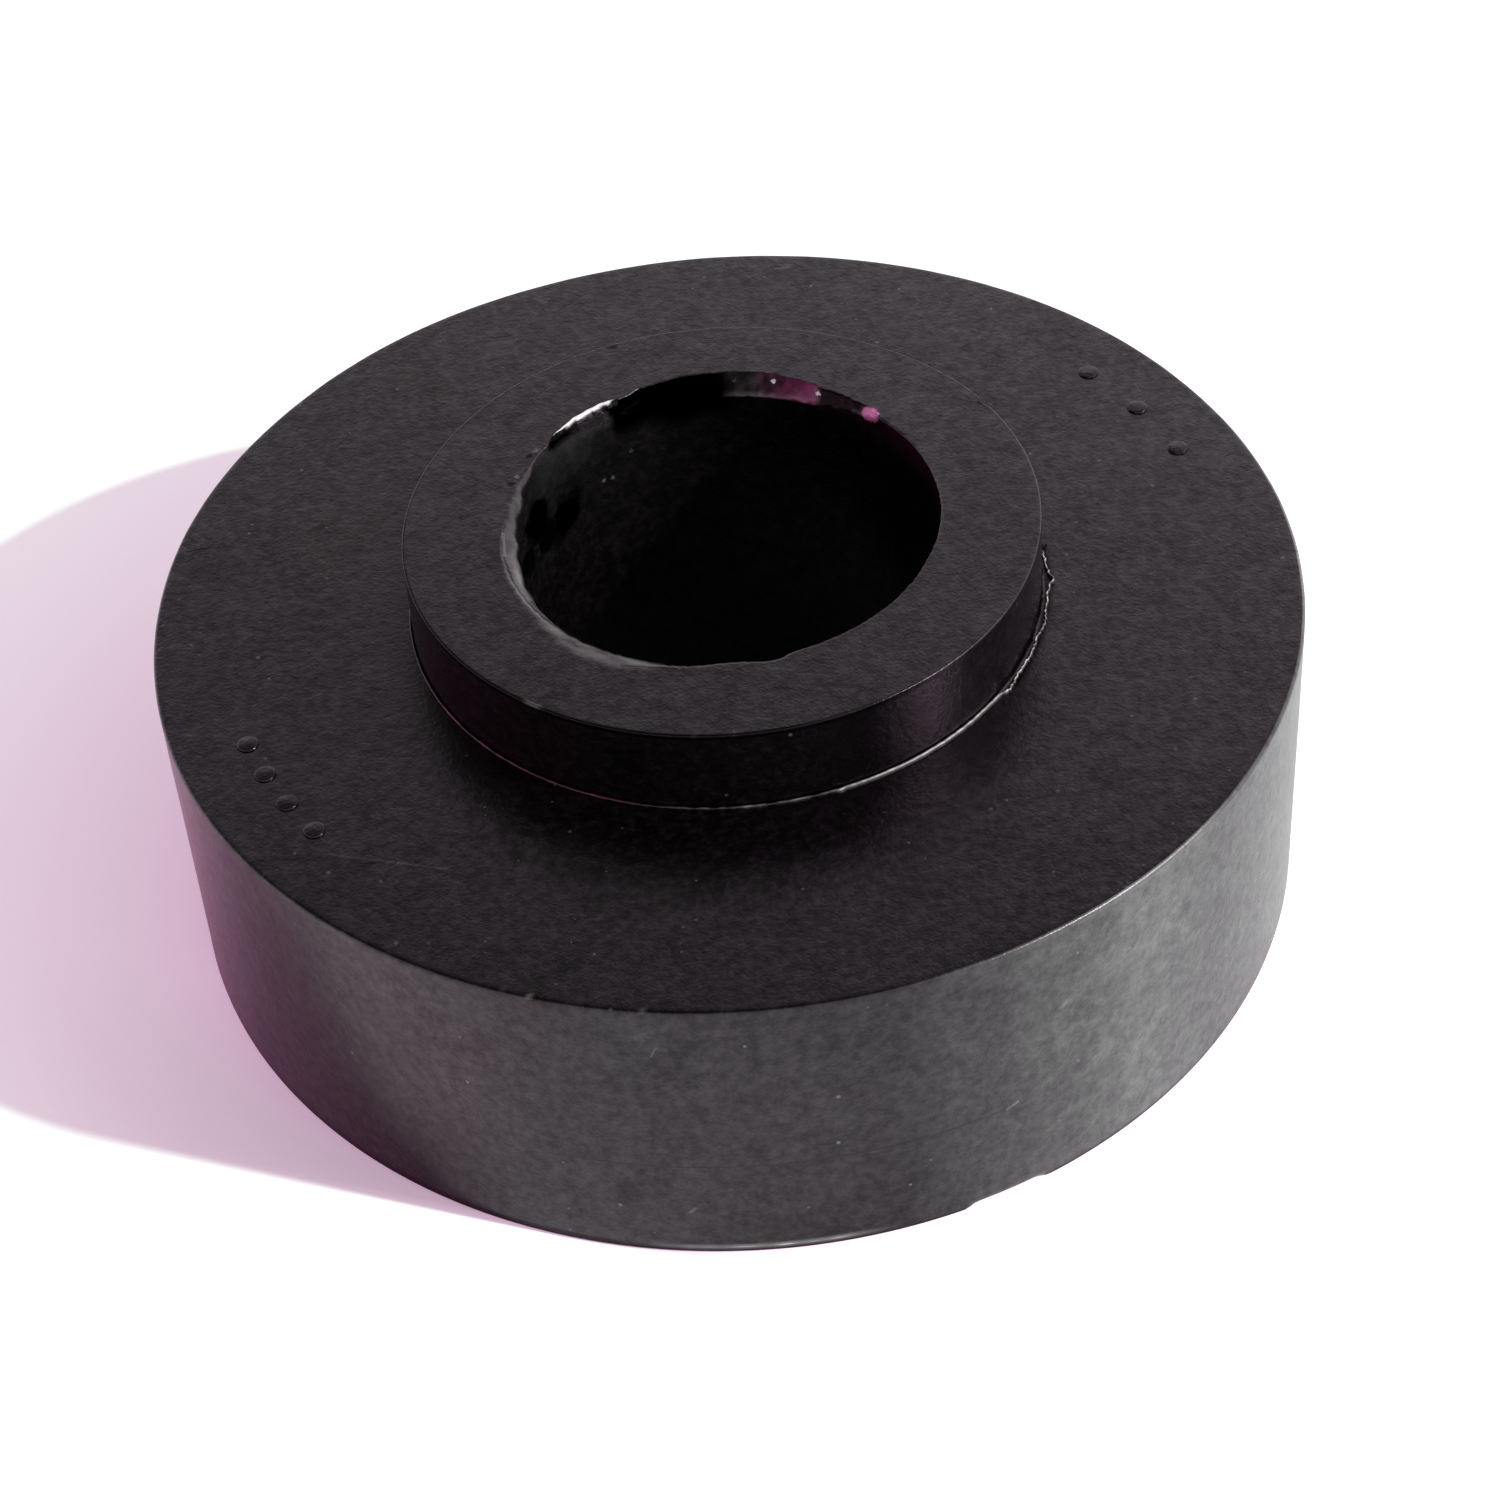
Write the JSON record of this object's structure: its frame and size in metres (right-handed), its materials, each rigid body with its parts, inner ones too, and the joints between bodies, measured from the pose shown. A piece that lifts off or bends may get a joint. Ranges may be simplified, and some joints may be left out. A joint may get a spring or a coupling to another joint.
{
  "type": "body mount cushion",
  "caption": "Thick moulded rubber disc with a raised round locating boss and a straight through bore, for isolating a vehicle body from its frame.",
  "frame": {"origin": "on the axis of the bore, at the centre of the lower face", "axes": "+Z along the bore, from the lower face up through the locating boss; +Y away from the viewer of the picture"},
  "size_m": [0.0636, 0.0634, 0.0236],
  "materials": {
    "rubber": "matt"
  },
  "bodies": {
    "root": {"cushion": "rubber"}
  },
  "joints": []
}
